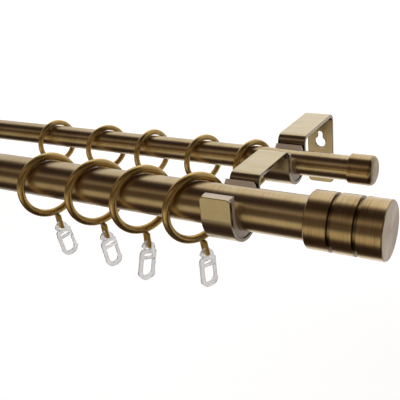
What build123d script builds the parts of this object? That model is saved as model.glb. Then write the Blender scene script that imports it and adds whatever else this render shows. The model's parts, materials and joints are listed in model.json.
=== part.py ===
from build123d import *
import os
from math import cos, radians, sin

# Double curtain rod: a thick front tube and a thin rear tube on two folded strip brackets,
# with finials, end caps, rings and clip-on curtain hooks.
# Millimetres and degrees. +X runs along the rods to the right, +Y goes into the wall, +Z is up.
# The origin lies on the wall, midway between the round ends of the two keyholes.

# Tubes
FRONT_DIAMETER = 25.0
FRONT_LENGTH = 1000.0
REAR_DIAMETER = 16.0
REAR_SETBACK = 17.0
TUBE_WALL = 1.0
FRONT_REACH = 142.5
REAR_REACH = 67.5
ROD_RISE = 9.5

# Folded strip brackets
BRACKET_INSET = 74.5
STRIP_WIDTH = 19.4
STRIP_THICKNESS = 2.5
STRIP_EDGE = 0.5
BEND_RADIUS = 3.5
ARM_CLEARANCE = 10.8
LIP_RISE = 13.2
PLATE_DROP = 31.6
PLATE_CORNER = 3.0
LIP_CORNER = 2.5
KEYHOLE_ROUND = 8.0
KEYHOLE_SLOT = 4.0
KEYHOLE_TRAVEL = 6.5

# Plastic liners between the strip and the tubes
LINER_THICKNESS = 4.0
LINER_WIDTH = 18.0
LINER_SEAT = 0.1
FRONT_LINER_RISE = 12.9
REAR_LINER_RISE = 9.0
LINER_WRAP = 45.0

# Finials on the front tube
FINIAL_DIAMETER = 32.6
FINIAL_LENGTH = 42.0
FINIAL_SOCKET = 25.0
FINIAL_EDGE = 0.5
GROOVE_FIRST = 14.4
GROOVE_PITCH = 13.6
GROOVE_WIDTH = 2.5
GROOVE_DEPTH = 1.6
PUSH_FIT = 0.1

# Grub screw that clamps each finial from below
GRUB_DIAMETER = 4.0
GRUB_CLEARANCE = 0.1
GRUB_RECESS = 0.2
GRUB_HEX = 2.0
GRUB_HEX_DEPTH = 1.6

# Push-on caps on the rear tube
CAP_DIAMETER = 19.2
CAP_LENGTH = 15.7
CAP_SOCKET = 12.0
CAP_ROUND = 3.0
CAP_LEAD = 0.4

# Rings, hung on top of the tubes
FRONT_RING_WIRE = 5.0
FRONT_RING_BORE = 35.0
REAR_RING_WIRE = 4.0
REAR_RING_BORE = 27.2
RING_SEAT = 0.3

# From left to right: free gap on the ring's right side, yaw and roll of the ring, lean of its hook
FRONT_RINGS = ((19.2, 24, 5, 10), (13.1, 25, 3, 8), (15.1, 27, 0, -13), (3.2, 28, 8, 0))
REAR_RINGS = ((35.0, 15, 0, 0), (28.0, 25, 0, 0), (31.0, 13, 0, 0), (23.6, 19, 0, 0), (5.5, 22, 0, 0))

# Eyelets pegged into the bottom of the rings
EYE_WIDTH = 6.2
EYE_DEPTH = 2.4
EYE_BAR = 1.3
EYE_SHOULDER = 1.8
EYE_HOLE = 7.8
EYE_SIDE = 1.5
EYE_CORNER = 1.5
EYE_EDGE = 0.4
EYE_GAP = 0.1
PEG_DIAMETER = 1.8
PEG_LENGTH = 2.2
PEG_FIT = 0.1

# Moulded curtain hooks that hang on the bar of the eyelets
HOOK_THICKNESS = 2.2
HOOK_SAG = 0.8
HOOK_BORE = 4.0
HOOK_CLAW = 2.6
HOOK_NECK = 2.2
HOOK_LEG = 2.4
HOOK_FOOT = 2.8
HOOK_CROSSBAR = 1.5
HOOK_GATE = 1.8
GATE_GAP = 0.6
FRAME_LEFT = -4.2
FRAME_RIGHT = 4.7
FRAME_TOP = -2.6
FRAME_BAR = -7.0
FRAME_BOTTOM = -20.8
FRAME_CORNER = 4.0
FRAME_SHOULDER = 1.9
CLAW_TIP = 165
CLAW_ROOT = -30

# Places worked out from the sizes above
rear_length = FRONT_LENGTH - 2 * REAR_SETBACK
bracket_place = FRONT_LENGTH / 2 - BRACKET_INSET
front_y = -FRONT_REACH
rear_y = -REAR_REACH
front_radius = FRONT_DIAMETER / 2
rear_radius = REAR_DIAMETER / 2
liner_room = LINER_THICKNESS + 2 * LINER_SEAT
front_u = front_radius + liner_room + STRIP_THICKNESS / 2
rear_u = rear_radius + liner_room + STRIP_THICKNESS / 2
bend = BEND_RADIUS + STRIP_THICKNESS / 2
arm_z = ROD_RISE + ARM_CLEARANCE + STRIP_THICKNESS / 2
plate_y = -STRIP_THICKNESS / 2
finial_end = FRONT_LENGTH / 2 + FINIAL_LENGTH - FINIAL_SOCKET
cap_end = rear_length / 2 + CAP_LENGTH - CAP_SOCKET
SIDES = ((1, "right"), (-1, "left"))

os.makedirs("parts", exist_ok=True)


def save(piece, name):
    """Label a finished piece and write it as its own node."""
    piece.part.label = name
    export_step(piece.part, f"parts/{name}.step")


# Tubes, open at both ends
for name, rod_y, radius, length in (
    ("front_rod", front_y, front_radius, FRONT_LENGTH),
    ("rear_rod", rear_y, rear_radius, rear_length),
):
    with BuildPart() as rod:
        with BuildSketch(Plane.YZ):
            with Locations((rod_y, ROD_RISE)):
                Circle(radius)
                Circle(radius - TUBE_WALL, mode=Mode.SUBTRACT)
        extrude(amount=length / 2, both=True)
    save(rod, name)

# Brackets, each one strip folded from the front lip to the wall plate
for side, hand in SIDES:
    bracket_x = side * bracket_place
    with BuildPart() as bracket:
        with BuildSketch(Plane.YZ.offset(bracket_x)):
            with BuildLine():
                Line((front_y - front_u, ROD_RISE + LIP_RISE), (front_y - front_u, ROD_RISE))
                CenterArc((front_y, ROD_RISE), front_u, 180, 180)
                front_leg = Line((front_y + front_u, ROD_RISE), (front_y + front_u, arm_z - bend))
                front_bend = JernArc(front_leg @ 1, (0, 1), bend, -90)
                front_arm = Line(front_bend @ 1, (rear_y - rear_u - bend, arm_z))
                drop_bend = JernArc(front_arm @ 1, (1, 0), bend, -90)
                Line(drop_bend @ 1, (rear_y - rear_u, ROD_RISE))
                CenterArc((rear_y, ROD_RISE), rear_u, 180, 180)
                rear_leg = Line((rear_y + rear_u, ROD_RISE), (rear_y + rear_u, arm_z - bend))
                rear_bend = JernArc(rear_leg @ 1, (0, 1), bend, -90)
                rear_arm = Line(rear_bend @ 1, (plate_y - bend, arm_z))
                wall_bend = JernArc(rear_arm @ 1, (1, 0), bend, -90)
                Line(wall_bend @ 1, (plate_y, -PLATE_DROP))
            trace(line_width=STRIP_THICKNESS)
        extrude(amount=STRIP_WIDTH / 2, both=True)
        fillet(bracket.edges().filter_by(Axis.Y).group_by(Axis.Z)[0], PLATE_CORNER)
        fillet(bracket.edges().filter_by(Axis.Y).group_by(Axis.Y)[0], LIP_CORNER)
        fillet(bracket.faces().filter_by(Axis.X).edges(), STRIP_EDGE)
        with BuildSketch(Plane.XZ):
            with Locations((bracket_x, 0)):
                Circle(KEYHOLE_ROUND / 2)
            with Locations((bracket_x, KEYHOLE_TRAVEL / 2)):
                SlotCenterToCenter(KEYHOLE_TRAVEL, KEYHOLE_SLOT, rotation=90)
        extrude(amount=STRIP_THICKNESS, mode=Mode.SUBTRACT)
    save(bracket, f"bracket_{hand}")

# Liners: a straight wall inside the lip or front leg, then round under and over the back of the tube
for side, hand in SIDES:
    for row, rod_y, radius, rise in (
        ("front", front_y, front_radius, FRONT_LINER_RISE),
        ("rear", rear_y, rear_radius, REAR_LINER_RISE),
    ):
        middle = radius + LINER_SEAT + LINER_THICKNESS / 2
        with BuildPart() as liner:
            with BuildSketch(Plane.YZ.offset(side * bracket_place)):
                with BuildLine():
                    Line((rod_y - middle, ROD_RISE + rise), (rod_y - middle, ROD_RISE))
                    CenterArc((rod_y, ROD_RISE), middle, 180, 180 + LINER_WRAP)
                trace(line_width=LINER_THICKNESS)
            extrude(amount=LINER_WIDTH / 2, both=True)
        save(liner, f"{row}_liner_{hand}")

# Finials, turned from solid bar with two grooves and a socket for the tube
grub_place = (GROOVE_FIRST + GROOVE_PITCH + GROOVE_WIDTH / 2 + FINIAL_LENGTH) / 2
for side, hand in SIDES:
    axial = Plane((side * finial_end, front_y, ROD_RISE), x_dir=(-side, 0, 0), z_dir=(0, -1, 0))
    with BuildPart() as finial:
        with BuildSketch(axial):
            with Locations((FINIAL_LENGTH / 2, FINIAL_DIAMETER / 4)):
                body = Rectangle(FINIAL_LENGTH, FINIAL_DIAMETER / 2)
            chamfer(body.vertices().group_by(Axis.Y)[-1], FINIAL_EDGE)
            for place in (GROOVE_FIRST, GROOVE_FIRST + GROOVE_PITCH):
                with Locations((place, FINIAL_DIAMETER / 2)):
                    Rectangle(GROOVE_WIDTH, 2 * GROOVE_DEPTH, mode=Mode.SUBTRACT)
            with Locations((FINIAL_LENGTH - FINIAL_SOCKET / 2, (front_radius + PUSH_FIT) / 2)):
                Rectangle(FINIAL_SOCKET, front_radius + PUSH_FIT, mode=Mode.SUBTRACT)
        revolve(axis=Axis((0, front_y, ROD_RISE), (1, 0, 0)))
        grub_x = side * (finial_end - grub_place)
        with BuildSketch(Plane((grub_x, front_y, ROD_RISE - FINIAL_DIAMETER / 2))):
            Circle(GRUB_DIAMETER / 2)
        extrude(amount=(FINIAL_DIAMETER - FRONT_DIAMETER) / 2, mode=Mode.SUBTRACT)
    save(finial, f"front_finial_{hand}")

    grub_foot = ROD_RISE - FINIAL_DIAMETER / 2 + GRUB_RECESS
    grub_head = ROD_RISE - front_radius - GRUB_CLEARANCE
    with BuildPart() as grub:
        with BuildSketch(Plane((grub_x, front_y, grub_foot))):
            Circle(GRUB_DIAMETER / 2 - GRUB_CLEARANCE)
        extrude(amount=grub_head - grub_foot)
        with BuildSketch(Plane((grub_x, front_y, grub_foot))):
            RegularPolygon(GRUB_HEX / 2, 6, major_radius=False)
        extrude(amount=GRUB_HEX_DEPTH, mode=Mode.SUBTRACT)
    save(grub, f"finial_grub_screw_{hand}")

# End caps, pushed over the rear tube
for side, hand in SIDES:
    axial = Plane((side * cap_end, rear_y, ROD_RISE), x_dir=(-side, 0, 0), z_dir=(0, -1, 0))
    with BuildPart() as cap:
        with BuildSketch(axial):
            with Locations((CAP_LENGTH / 2, CAP_DIAMETER / 4)):
                body = Rectangle(CAP_LENGTH, CAP_DIAMETER / 2)
            rim = body.vertices().group_by(Axis.Y)[-1].sort_by(Axis.X)
            fillet(rim[0], CAP_ROUND)
            chamfer(rim[-1], CAP_LEAD)
            with Locations((CAP_LENGTH - CAP_SOCKET / 2, (rear_radius + PUSH_FIT) / 2)):
                Rectangle(CAP_SOCKET, rear_radius + PUSH_FIT, mode=Mode.SUBTRACT)
        revolve(axis=Axis((0, rear_y, ROD_RISE), (1, 0, 0)))
    save(cap, f"rear_end_cap_{hand}")


def hang(centre, yaw, roll):
    """The plane of a ring: local Y points from its eyelet to its centre, local Z along its axis."""
    facing = (cos(radians(yaw)), -sin(radians(yaw)), 0)
    level = cos(radians(roll))
    across = (level * sin(radians(yaw)), level * cos(radians(yaw)), sin(radians(roll)))
    return Plane(centre, x_dir=across, z_dir=facing)


def make_ring(name, plane, bore, wire):
    """A round-wire ring with a blind hole for its eyelet in the outside."""
    foot = plane.from_local_coords((0, -bore / 2 - wire, 0))
    with BuildPart(plane) as ring:
        Torus((bore + wire) / 2, wire / 2)
        with BuildSketch(Plane(foot, x_dir=plane.x_dir, z_dir=plane.y_dir)):
            Circle(PEG_DIAMETER / 2 + PEG_FIT)
        extrude(amount=PEG_LENGTH + PEG_FIT, mode=Mode.SUBTRACT)
    save(ring, name)


def make_eyelet(name, plane, bar):
    """A flat loop with a peg on top; its lower bar is centred on the given point."""
    height = EYE_BAR + EYE_HOLE + EYE_SHOULDER
    flat = Plane(bar, x_dir=plane.z_dir, z_dir=-plane.x_dir)
    with BuildPart() as eyelet:
        with BuildSketch(flat):
            with Locations((0, (height - EYE_BAR) / 2)):
                RectangleRounded(EYE_WIDTH, height, EYE_CORNER)
            with Locations((0, (EYE_BAR + EYE_HOLE) / 2)):
                RectangleRounded(EYE_WIDTH - 2 * EYE_SIDE, EYE_HOLE, EYE_CORNER - EYE_BAR / 2,
                                 mode=Mode.SUBTRACT)
        extrude(amount=EYE_DEPTH / 2, both=True)
        chamfer(eyelet.faces().filter_by(flat).edges(), EYE_EDGE)
        top = flat.from_local_coords((0, height - EYE_BAR / 2, 0))
        with BuildSketch(Plane(top, x_dir=plane.x_dir, z_dir=plane.y_dir)):
            Circle(PEG_DIAMETER / 2)
        extrude(amount=EYE_GAP + PEG_LENGTH)
    save(eyelet, name)


def make_hook(name, bar, yaw, lean):
    """A flat moulded hook: an open claw over the eyelet's bar, above a frame with a springy gate."""
    sunk = hang(bar, yaw, lean).from_local_coords((0, -HOOK_SAG, 0))
    claw = (HOOK_BORE + HOOK_CLAW) / 2
    neck_foot = FRAME_BAR - HOOK_CROSSBAR / 2
    gate_x = FRAME_RIGHT + (HOOK_NECK - HOOK_GATE) / 2
    with BuildPart() as hook:
        with BuildSketch(hang(sunk, yaw, lean)):
            with BuildLine():
                CenterArc((0, 0), claw, CLAW_ROOT, CLAW_TIP - CLAW_ROOT)
            trace(line_width=HOOK_CLAW)
            with Locations((claw * cos(radians(CLAW_TIP)), claw * sin(radians(CLAW_TIP)))):
                Circle(HOOK_CLAW / 2)
            with BuildLine():
                Line((claw * cos(radians(CLAW_ROOT)), claw * sin(radians(CLAW_ROOT))),
                     (FRAME_RIGHT, FRAME_TOP))
                Line((FRAME_RIGHT, FRAME_TOP), (FRAME_RIGHT, neck_foot))
            trace(line_width=HOOK_NECK)
            with Locations((FRAME_RIGHT, FRAME_TOP)):
                Circle(HOOK_NECK / 2)
            with BuildLine():
                arch = Line((FRAME_RIGHT, FRAME_TOP), (FRAME_LEFT + FRAME_SHOULDER, FRAME_TOP))
                shoulder = JernArc(arch @ 1, (-1, 0), FRAME_SHOULDER, 90)
                Line(shoulder @ 1, (FRAME_LEFT, FRAME_BOTTOM + FRAME_CORNER))
            trace(line_width=HOOK_LEG)
            with BuildLine():
                heel = CenterArc((FRAME_LEFT + FRAME_CORNER, FRAME_BOTTOM + FRAME_CORNER),
                                 FRAME_CORNER, 180, 90)
                foot = Line(heel @ 1, (gate_x - FRAME_CORNER, FRAME_BOTTOM))
                JernArc(foot @ 1, (1, 0), FRAME_CORNER, 90)
            trace(line_width=HOOK_FOOT)
            with BuildLine():
                Line((FRAME_LEFT, FRAME_BAR), (FRAME_RIGHT, FRAME_BAR))
            trace(line_width=HOOK_CROSSBAR)
            with BuildLine():
                Line((gate_x, FRAME_BOTTOM + FRAME_CORNER), (gate_x, neck_foot - GATE_GAP))
            trace(line_width=HOOK_GATE)
        extrude(amount=HOOK_THICKNESS / 2, both=True)
    save(hook, name)


# Rings with their eyelets and hooks, spaced to the left from the right-hand bracket
for row, rod_y, radius, bore, wire, rings in (
    ("front", front_y, front_radius, FRONT_RING_BORE, FRONT_RING_WIRE, FRONT_RINGS),
    ("rear", rear_y, rear_radius, REAR_RING_BORE, REAR_RING_WIRE, REAR_RINGS),
):
    ring_z = ROD_RISE + radius + RING_SEAT - bore / 2
    drop = bore / 2 + wire + EYE_GAP + EYE_SHOULDER + EYE_HOLE + EYE_BAR / 2
    edge = bracket_place - STRIP_WIDTH / 2
    for number, (gap, yaw, roll, lean) in reversed(list(enumerate(rings, 1))):
        half_width = (bore + wire) / 2 * sin(radians(yaw)) + wire / 2
        ring_x = edge - gap - half_width
        edge = ring_x - half_width
        plane = hang((ring_x, rod_y, ring_z), yaw, roll)
        bar = plane.from_local_coords((0, -drop, 0))
        make_ring(f"{row}_ring_{number}", plane, bore, wire)
        make_eyelet(f"{row}_eyelet_{number}", plane, bar)
        make_hook(f"{row}_hook_{number}", bar, yaw, lean)
        print(f"{row} ring {number}: x {ring_x:.3f}, half width {half_width:.3f}, bar "
              f"{bar.X:.3f} {bar.Y:.3f} {bar.Z:.3f}")
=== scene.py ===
"""Double curtain rod in brushed antique brass, dressed and lit for the photograph's view."""

import json
import math

import bpy
from mathutils import Matrix, Vector


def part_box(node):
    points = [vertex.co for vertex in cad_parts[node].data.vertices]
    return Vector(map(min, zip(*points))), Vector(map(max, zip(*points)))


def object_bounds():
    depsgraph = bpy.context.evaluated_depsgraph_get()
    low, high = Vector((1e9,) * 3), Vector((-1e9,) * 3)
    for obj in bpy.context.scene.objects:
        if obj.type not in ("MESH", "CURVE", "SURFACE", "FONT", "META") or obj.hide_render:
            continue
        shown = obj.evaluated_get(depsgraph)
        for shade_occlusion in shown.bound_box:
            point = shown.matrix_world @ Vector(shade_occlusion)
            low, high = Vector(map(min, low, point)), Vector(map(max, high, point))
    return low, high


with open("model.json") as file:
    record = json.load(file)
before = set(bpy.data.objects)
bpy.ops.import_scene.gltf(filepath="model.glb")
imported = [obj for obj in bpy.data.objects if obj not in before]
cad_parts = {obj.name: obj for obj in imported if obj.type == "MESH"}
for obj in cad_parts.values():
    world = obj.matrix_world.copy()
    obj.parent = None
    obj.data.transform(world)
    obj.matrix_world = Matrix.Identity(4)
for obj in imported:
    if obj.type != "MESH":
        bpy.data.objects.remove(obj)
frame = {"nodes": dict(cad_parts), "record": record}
cad_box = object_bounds()

MM = 0.001

# Photograph: the frame it fills and the camera that was worked out from the tubes and the bracket
PHOTO_PIXELS = 400
FOCAL_PIXELS = 684.94
CAMERA_YAW = 32.227
CAMERA_PITCH = 23.896
CAMERA_ROLL = -5.709
CAMERA_FROM_FINIAL = Vector((84.064, -311.636, 164.356)) * MM
SENSOR_WIDTH = 36.0
NEAREST_SEEN = 10 * MM

# Brass
PATINA_CLOUDS = (25, 12, 12)  # mm along X, Y and Z
WEAR = (0.12, 0.24, 0.40)  # wear at which each tone shows, from dark to light
LINE_GLOSS = 0.02  # spread of the roughness over the brush lines
QUARTER_TURN = 0.25  # sets the smear across the brush lines

# Plastics, lacquer and steel
DRIFT = (0.30, 0.70)  # where in the drift of a surface its two tones lie
CLEAR_GLOSS = 0.06  # spread of the roughness of a clear moulding
POLYPROPYLENE_IOR = 1.49
PVC_IOR = 1.53
NYLON_IOR = 1.53

# Colour sockets of a Mix node, by number because its other kinds share their names
COLOUR_A, COLOUR_B, COLOUR_OUT = 6, 7, 2

# Studio: a white paper floor well below the rod, and its glow's strength by the distance in metres
FLOOR_TONE = "#f5f5f5"
FLOOR_DROP = 300 * MM
FLOOR_SIZE = 30.0
GLOW_FROM, GLOW_NEAR = 0.7, 0.28
GLOW_TO, GLOW_FAR = 1.7, 0.72

# Studio: what stands round the rods, as levels of light, which the brass shows as long bands
DIM_ROOM = [0.055, 0.036, 0.031, 1.0]
ROOM = [0.16, 0.12, 0.09, 1.0]
ROOM_AHEAD = [0.13, 0.09, 0.06, 1.0]
LOW_CARD = [0.74, 0.65, 0.48, 1.0]
HIGH_CARD = [0.40, 0.32, 0.25, 1.0]
SWEEP_EDGE = [0.4, 0.33, 0.27, 1.0]
WHITE_SWEEP = [1.14, 1.12, 1.10, 1.0]
PAPER_WHITE = [1.0, 1.0, 1.0, 1.0]
# degrees round the rods: 0 straight to the front, 90 straight up, 180 to the back
ROUND_THE_RODS = [
    (-180, WHITE_SWEEP), (-112, WHITE_SWEEP), (-98, ROOM), (-84, DIM_ROOM), (-54, DIM_ROOM), (-42, ROOM),
    (-29, LOW_CARD), (-14, LOW_CARD), (2, ROOM), (26, ROOM_AHEAD), (41, HIGH_CARD), (54, ROOM),
    (66, DIM_ROOM), (94, DIM_ROOM), (104, SWEEP_EDGE), (114, WHITE_SWEEP), (180, WHITE_SWEEP)]
# share of it from the far left, 0, to the far right, 1: the sweep and the cards are narrow, so the far end
# of the rods and the faces to the right are dimmer
ALONG_THE_RODS = [
    (0.0, [0.45, 0.45, 0.45, 1.0]), (0.30, [0.92, 0.92, 0.92, 1.0]), (0.48, [1.1, 1.1, 1.1, 1.0]),
    (0.60, [0.55, 0.56, 0.64, 1.0]), (1.0, [0.40, 0.41, 0.46, 1.0])]

# Studio: soft lamps by name, place and size in metres, and watts, all aimed at the rod's right-hand end
LAMPS = [("key_lamp", (0.0, 0.9, 1.0), (1.6, 0.8), 13.0),
         ("fill_lamp", (-0.3, -1.2, 0.9), (1.2, 0.6), 6.0)]
LAMP_TARGET = Vector((0.35, -0.1, 0.0))


def linear(code):
    """An sRGB hex colour as linear RGBA."""
    parts = [int(code[i:i + 2], 16) / 255 for i in (1, 3, 5)]
    return [c / 12.92 if c <= 0.04045 else ((c + 0.055) / 1.055) ** 2.4 for c in parts] + [1.0]


def add(tree, kind, values=None, stops=None, **settings):
    """Add a node with its settings and colour stops; a value that is a socket is linked, any other is set."""
    made = tree.nodes.new(kind)
    for name, setting in settings.items():
        setattr(made, name, setting)
    for name, value in (values or {}).items():
        socket = made.inputs[name]
        if isinstance(value, bpy.types.NodeSocket):
            tree.links.new(value, socket)
        else:
            socket.default_value = value
    if stops:
        elements = made.color_ramp.elements
        while len(elements) < len(stops):
            elements.new(0.5)
        for element, (position, colour) in zip(elements, stops):
            element.position = position
            element.color = colour
    return made


def bare_material(name):
    """A material with an empty node tree."""
    material = bpy.data.materials.new(name)
    material.use_nodes = True
    material.node_tree.nodes.clear()
    return material, material.node_tree


def finish_surface(tree, values):
    """Close a material's tree with a surface that has the given values."""
    shader = add(tree, "ShaderNodeBsdfPrincipled", values)
    add(tree, "ShaderNodeOutputMaterial", {"Surface": shader.outputs["BSDF"]})


def unevenness(tree, spacing, detail, roughness=0.5):
    """Drift of a surface between 0 and 1, at a real spacing in millimetres along X, Y and Z."""
    place = add(tree, "ShaderNodeTexCoord")
    scaled = add(tree, "ShaderNodeMapping",
                 {"Vector": place.outputs["Object"], "Scale": [1 / (s * MM) for s in spacing]})
    noise = add(tree, "ShaderNodeTexNoise",
                {"Vector": scaled.outputs["Vector"], "Scale": 1.0, "Detail": detail, "Roughness": roughness})
    return noise.outputs["Fac"]


def tone_and_gloss(tree, drift, tones, rough):
    """Base colour and roughness that follow the drift of the surface, between two tones and two values."""
    tone = add(tree, "ShaderNodeValToRGB", {"Fac": drift},
               stops=[(at, linear(code)) for at, code in zip(DRIFT, tones)])
    gloss = add(tree, "ShaderNodeMapRange", {"Value": drift, "To Min": rough[0], "To Max": rough[1]})
    return {"Base Color": tone.outputs["Color"], "Roughness": gloss.outputs["Result"]}


def brushed_antique_brass(name, line_spacing, rough, smear, depth, tones, reach, shade, shade_and_patina):
    """Brass plate on steel, darkened with patina, brushed back and lacquered satin.

    It gives soft mirror bands in warm brown and straw, fine lines in them, and corners and grooves darkened
    with painted shade, partly patina.
    """
    material, tree = bare_material(name)
    # brush lines, drawn coarser than the real 0.1 mm so that they show at all in the render
    lines = unevenness(tree, line_spacing, detail=4.0, roughness=0.6)
    # clouds of patina left by the brush, longer along the rods
    clouds = unevenness(tree, PATINA_CLOUDS, detail=3.0)
    wear = add(tree, "ShaderNodeMath", {0: lines, 1: clouds}, operation="MULTIPLY")
    tone = add(tree, "ShaderNodeValToRGB", {"Fac": wear.outputs["Value"]},
               stops=[(at, linear(code)) for at, code in zip(WEAR, tones)])
    # painted shade, partly patina in the hollows: darker in grooves and corners and where another piece
    # stands close, by how much the surroundings hide the surface
    shade_occlusion = add(tree, "ShaderNodeAmbientOcclusion", {"Distance": reach * MM}, samples=8)
    painted_shade_mask = add(tree, "ShaderNodeMapRange",
                 {"Value": shade_occlusion.outputs["AO"], "From Min": shade[0], "From Max": shade[1],
                  "To Min": 1.0, "To Max": 0.0})
    colour = add(tree, "ShaderNodeMix",
                 {"Factor": painted_shade_mask.outputs["Result"], COLOUR_A: tone.outputs["Color"],
                  COLOUR_B: linear(shade_and_patina)}, data_type="RGBA")
    gloss = add(tree, "ShaderNodeMapRange",
                {"Value": lines, "To Min": rough - LINE_GLOSS, "To Max": rough + LINE_GLOSS})
    relief = add(tree, "ShaderNodeBump", {"Height": lines, "Strength": 0.10, "Distance": depth * MM})
    # brush lines that run round a turned piece smear its reflections along the axis
    around = add(tree, "ShaderNodeTangent", direction_type="RADIAL", axis="X")
    finish_surface(tree, {"Base Color": colour.outputs[COLOUR_OUT], "Roughness": gloss.outputs["Result"],
                          "Normal": relief.outputs["Normal"], "Tangent": around.outputs["Tangent"],
                          "Metallic": 1.0, "Anisotropic": smear, "Anisotropic Rotation": QUARTER_TURN})
    return material


def old_gold_lacquer():
    """Old-gold lacquer on steel wire, smooth from dipping: a satin yellow-brown glint, faintly clouded."""
    material, tree = bare_material("old_gold_lacquered_wire")
    # clouds from the dip, about 4 mm across
    clouds = unevenness(tree, (4, 4, 4), detail=4.0)
    look = tone_and_gloss(tree, clouds, tones=("#c9a862", "#d9ba7a"), rough=(0.20, 0.29))
    finish_surface(tree, {**look, "Metallic": 0.95})
    return material


def olive_nylon():
    """Moulded olive-yellow nylon of the eyelets: an even, slightly waxy colour with a dull shine."""
    material, tree = bare_material("olive_moulded_nylon")
    # flow marks of the moulding, 2 to 3 mm apart
    flow = unevenness(tree, (2, 2, 3), detail=3.0)
    look = tone_and_gloss(tree, flow, tones=("#96700f", "#bb9228"), rough=(0.28, 0.42))
    finish_surface(tree, {**look, "IOR": NYLON_IOR})
    return material


def clear_moulding(name, thick, thin, through, rough, ior):
    """Clear moulded plastic, a little milky: light comes through, with grey edges and soft ripples."""
    material, tree = bare_material(name)
    # flow marks of the moulding, 3 to 5 mm apart
    flow = unevenness(tree, (3, 3, 5), detail=3.0)
    look = tone_and_gloss(tree, flow, (thick, thin), (rough - CLEAR_GLOSS, rough + CLEAR_GLOSS))
    ripple = add(tree, "ShaderNodeBump", {"Height": flow, "Strength": 0.15, "Distance": 0.2 * MM})
    finish_surface(tree, {**look, "Normal": ripple.outputs["Normal"],
                          "Transmission Weight": through, "IOR": ior})
    return material


def blackened_steel():
    """Oil-blackened steel of the grub screws, turned: near black, with a dull grey sheen."""
    material, tree = bare_material("oil_blackened_steel")
    # turning lines, drawn coarser than the real 0.1 mm
    lines = unevenness(tree, (1, 1, 0.3), detail=2.0)
    look = tone_and_gloss(tree, lines, tones=("#33302d", "#504b46"), rough=(0.35, 0.5))
    finish_surface(tree, {**look, "Metallic": 1.0})
    return material


def dress():
    """Give every CAD piece its material by the record's slot and by how the piece was finished."""
    # drawn tube, brushed round: long soft bands along the rod, hardly a line in them
    # painted shade darkens the tube where a ring or another piece sits close to it
    tube = brushed_antique_brass(
        "antique_brass_brushed_tube", line_spacing=(0.9, 14, 14), rough=0.26, smear=0.80, depth=0.003,
        tones=("#b49d75", "#c2ae88", "#cab797"), reach=0.8, shade=(0.15, 0.50), shade_and_patina="#1a0f08")
    # turned on a lathe: the same bands crossed by finer, clearer lines, and grooves blackened with painted
    # shade and patina
    turned = brushed_antique_brass(
        "antique_brass_turned_finial", line_spacing=(0.6, 20, 20), rough=0.24, smear=0.80, depth=0.004,
        tones=("#a0875e", "#b8a178", "#c5b089"), reach=2.5, shade=(0.40, 0.88), shade_and_patina="#1c110a")
    # flat strip, plated and folded: smooth bright faces, and painted shade darkening the faces that the folds
    # and the nearby rods and liners shelter
    strip = brushed_antique_brass(
        "antique_brass_plated_strip", line_spacing=(9, 1.5, 9), rough=0.17, smear=0.0, depth=0.002,
        tones=("#c0b08e", "#c6b795", "#cbbc9b"), reach=60, shade=(0.45, 0.93), shade_and_patina="#2a1c16")
    by_slot = {
        "ring_brass": old_gold_lacquer(),
        "eyelet_plastic": olive_nylon(),
        "hook_plastic": clear_moulding("clear_moulded_polypropylene", "#f1efed", "#fbfaf9",
                                       through=0.68, rough=0.22, ior=POLYPROPYLENE_IOR),
        "liner_plastic": clear_moulding("smoky_moulded_pvc", "#dcc7ac", "#e6d2bc",
                                        through=0.30, rough=0.30, ior=PVC_IOR),
        "screw_steel": blackened_steel(),
    }
    by_word = {"rod": tube, "finial": turned, "cap": turned, "bracket": strip}
    for part in frame["record"]["subparts"]:
        piece = frame["nodes"][part["node"]]
        material = by_slot.get(part["material_slot"])
        if material is None:
            material = next(made for word, made in by_word.items() if word in part["node"])
        piece.data.materials.clear()
        piece.data.materials.append(material)


def camera_axes():
    """Right, up and forward of the photograph's camera, from its yaw, pitch and roll."""
    yaw, pitch, roll = (math.radians(a) for a in (CAMERA_YAW, CAMERA_PITCH, CAMERA_ROLL))
    forward = Vector((-math.sin(yaw) * math.cos(pitch), math.cos(yaw) * math.cos(pitch), -math.sin(pitch)))
    level = forward.cross(Vector((0, 0, 1))).normalized()
    upright = level.cross(forward)
    right = math.cos(roll) * level + math.sin(roll) * upright
    return right, right.cross(forward), forward


def place_camera():
    """The photograph's camera, measured from the centre of the right finial's end face."""
    low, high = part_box("front_finial_right")
    end_face = Vector((high.x, (low.y + high.y) / 2, (low.z + high.z) / 2))
    right, up, forward = camera_axes()
    data = bpy.data.cameras.new("camera")
    data.sensor_width = SENSOR_WIDTH
    data.lens = FOCAL_PIXELS / PHOTO_PIXELS * SENSOR_WIDTH
    data.clip_start = NEAREST_SEEN
    camera = bpy.data.objects.new("camera", data)
    turn = Matrix((right, up, -forward)).transposed().to_4x4()
    camera.matrix_world = Matrix.Translation(end_face + CAMERA_FROM_FINIAL) @ turn
    bpy.context.scene.collection.objects.link(camera)
    bpy.context.scene.camera = camera


def seen_directly(tree):
    """1 where the camera looks, straight or through clear plastic, and 0 for light on the object."""
    path = add(tree, "ShaderNodeLightPath")
    either = add(tree, "ShaderNodeMath",
                 {0: path.outputs["Is Camera Ray"], 1: path.outputs["Is Transmission Ray"]},
                 operation="MAXIMUM")
    return either.outputs["Value"]


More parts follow.
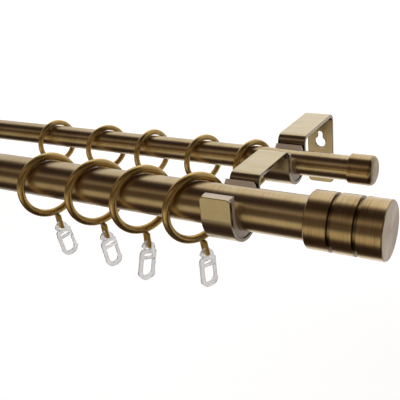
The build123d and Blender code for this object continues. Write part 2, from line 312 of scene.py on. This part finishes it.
def pale_floor():
    """A wide pale floor under the rod, white where the camera sees it, still taking a soft shadow."""
    bpy.ops.mesh.primitive_plane_add(size=FLOOR_SIZE, location=(0, 0, cad_box[0].z - FLOOR_DROP))
    floor = bpy.context.object
    floor.name = "floor"
    material, tree = bare_material("white_paper_floor")
    paper = add(tree, "ShaderNodeBsdfDiffuse", {"Color": linear(FLOOR_TONE)})
    # the lamps light the paper near the rod, so it needs less help there and a shadow still shows
    spot = add(tree, "ShaderNodeNewGeometry")
    away = add(tree, "ShaderNodeVectorMath", {0: spot.outputs["Position"]}, operation="LENGTH")
    help_needed = add(tree, "ShaderNodeMapRange",
                      {"Value": away.outputs["Value"], "From Min": GLOW_FROM, "From Max": GLOW_TO,
                       "To Min": GLOW_NEAR, "To Max": GLOW_FAR})
    lift = add(tree, "ShaderNodeMath", {0: seen_directly(tree), 1: help_needed.outputs["Result"]},
               operation="MULTIPLY")
    glow = add(tree, "ShaderNodeEmission", {"Strength": lift.outputs["Value"]})
    both = add(tree, "ShaderNodeAddShader", {0: paper.outputs["BSDF"], 1: glow.outputs["Emission"]})
    # seen from below the paper is clear, so that it doesn't hide the underside of the rod
    clear = add(tree, "ShaderNodeBsdfTransparent")
    one_sided = add(tree, "ShaderNodeMixShader",
                    {"Fac": spot.outputs["Backfacing"], 1: both.outputs["Shader"], 2: clear.outputs["BSDF"]})
    add(tree, "ShaderNodeOutputMaterial", {"Surface": one_sided.outputs["Shader"]})
    floor.data.materials.append(material)
    # below itself the brass mirrors the dim room and not the paper, as in the photograph
    floor.visible_glossy = False


def studio_world():
    """A white sweep behind the rod, and a dim warm room in front, above and below, with two pale cards."""
    world = bpy.data.worlds.new("studio")
    world.use_nodes = True
    tree = world.node_tree
    tree.nodes.clear()
    place = add(tree, "ShaderNodeTexCoord")
    way = add(tree, "ShaderNodeSeparateXYZ", {"Vector": place.outputs["Generated"]})
    front = add(tree, "ShaderNodeMath", {0: way.outputs["Y"], 1: -1.0}, operation="MULTIPLY")
    angle = add(tree, "ShaderNodeMath", {0: way.outputs["Z"], 1: front.outputs["Value"]},
                operation="ARCTAN2")
    turn = add(tree, "ShaderNodeMapRange",
               {"Value": angle.outputs["Value"], "From Min": -math.pi, "From Max": math.pi})
    glow = add(tree, "ShaderNodeValToRGB", {"Fac": turn.outputs["Result"]},
               stops=[((degrees + 180) / 360, level) for degrees, level in ROUND_THE_RODS])
    side = add(tree, "ShaderNodeMapRange", {"Value": way.outputs["X"], "From Min": -1.0, "From Max": 1.0})
    fade = add(tree, "ShaderNodeValToRGB", {"Fac": side.outputs["Result"]}, stops=ALONG_THE_RODS)
    lit = add(tree, "ShaderNodeMix",
              {"Factor": 1.0, COLOUR_A: glow.outputs["Color"], COLOUR_B: fade.outputs["Color"]},
              data_type="RGBA", blend_type="MULTIPLY")
    room = add(tree, "ShaderNodeBackground", {"Color": lit.outputs[COLOUR_OUT]})
    paper = add(tree, "ShaderNodeBackground", {"Color": PAPER_WHITE})
    both = add(tree, "ShaderNodeMixShader",
               {"Fac": seen_directly(tree), 1: room.outputs["Background"], 2: paper.outputs["Background"]})
    add(tree, "ShaderNodeOutputWorld", {"Surface": both.outputs["Shader"]})
    bpy.context.scene.world = world


def soft_lamp(name, place, size, watts):
    """A large soft lamp aimed at the rod's right-hand end, unseen by the camera and in the brass."""
    data = bpy.data.lights.new(name, "AREA")
    data.shape = "RECTANGLE"
    data.size, data.size_y = size
    data.energy = watts
    lamp = bpy.data.objects.new(name, data)
    lamp.location = place
    lamp.rotation_euler = (LAMP_TARGET - Vector(place)).to_track_quat("-Z", "Y").to_euler()
    lamp.visible_camera = False
    lamp.visible_glossy = False
    bpy.context.scene.collection.objects.link(lamp)


dress()
place_camera()
pale_floor()
studio_world()
for lamp_facts in LAMPS:
    soft_lamp(*lamp_facts)

bpy.context.scene.view_settings.view_transform = "Standard"
